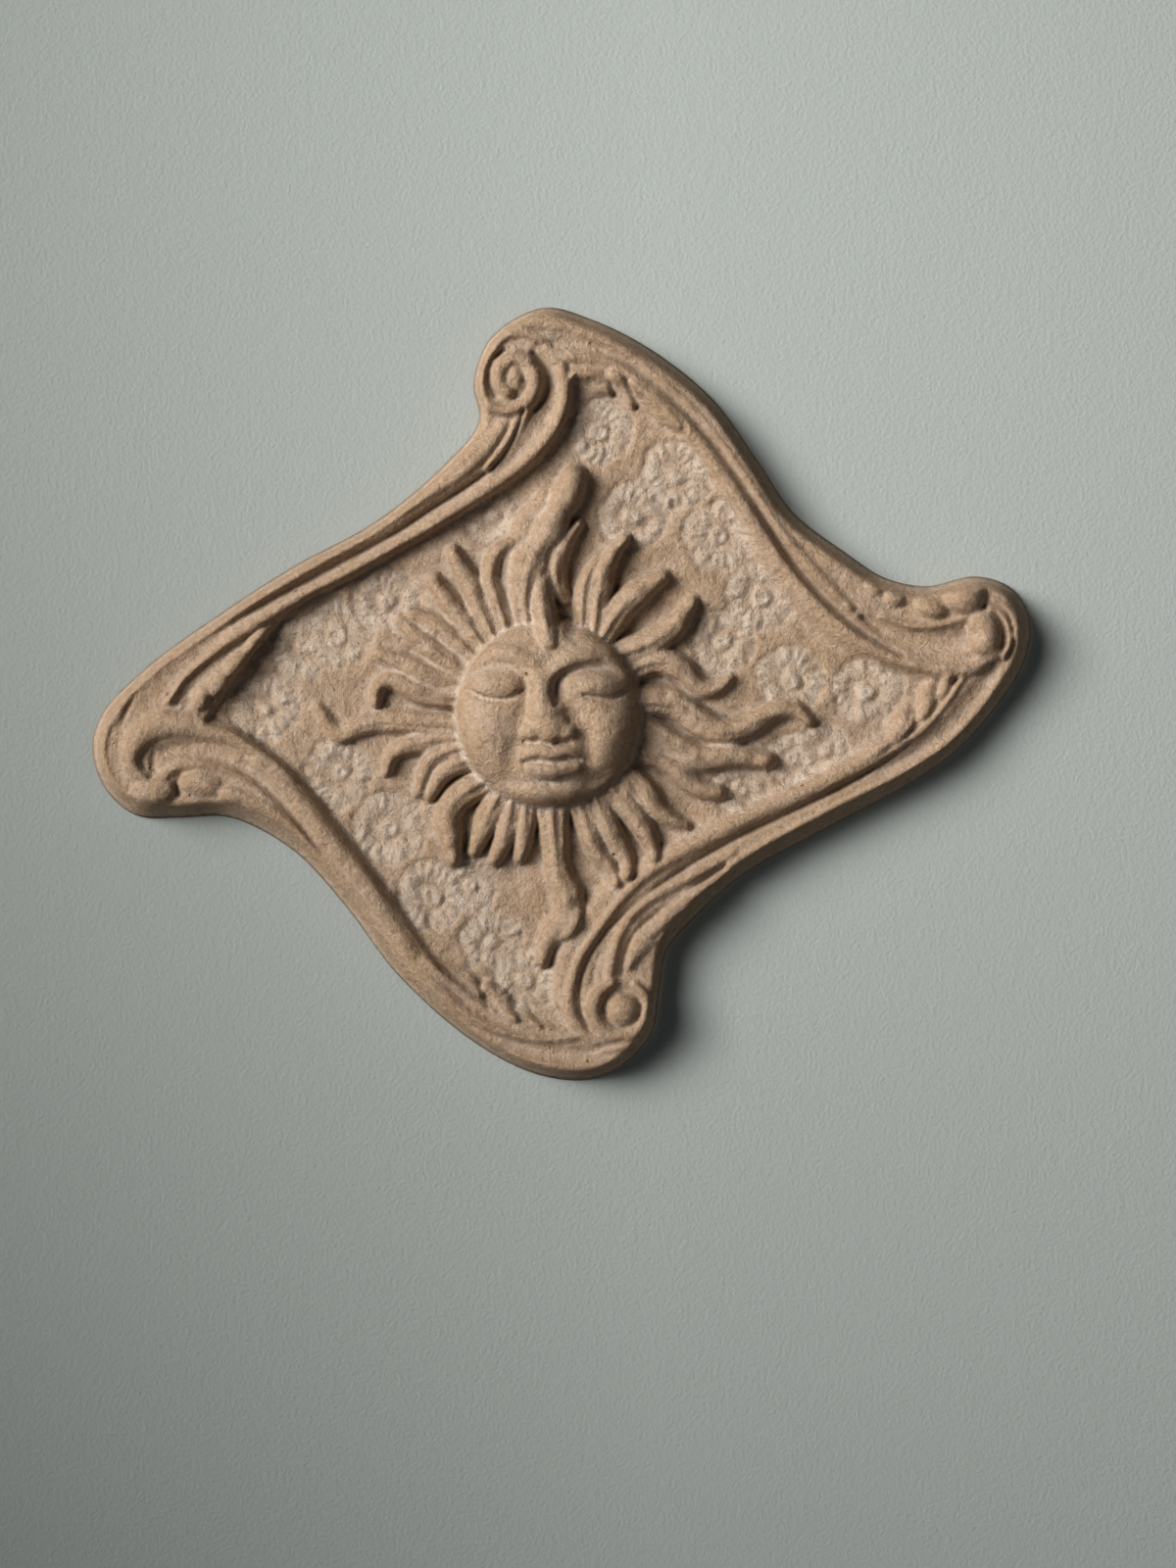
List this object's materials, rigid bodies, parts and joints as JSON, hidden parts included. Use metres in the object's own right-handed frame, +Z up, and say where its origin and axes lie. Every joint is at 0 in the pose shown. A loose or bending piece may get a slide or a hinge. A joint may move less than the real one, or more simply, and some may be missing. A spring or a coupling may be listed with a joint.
{
  "type": "sun face wall plaque",
  "caption": "Cast terracotta wall plaque: a sleeping sun face with flame rays on a flowered field, in a scrolled border with four curled corners.",
  "frame": {"origin": "on the flat back, behind the middle of the face", "axes": "as hung: +X to the viewer's right, +Z up, the carved front faces -Y and the flat back faces +Y"},
  "size_m": [0.4308, 0.0448, 0.3545],
  "materials": {
    "terracotta": "unglazed pale terracotta, sandy and matt, with whitish bloom in the recesses, small pits and worn edges"
  },
  "bodies": {
    "root": {"sun_plaque": "terracotta"}
  },
  "joints": []
}
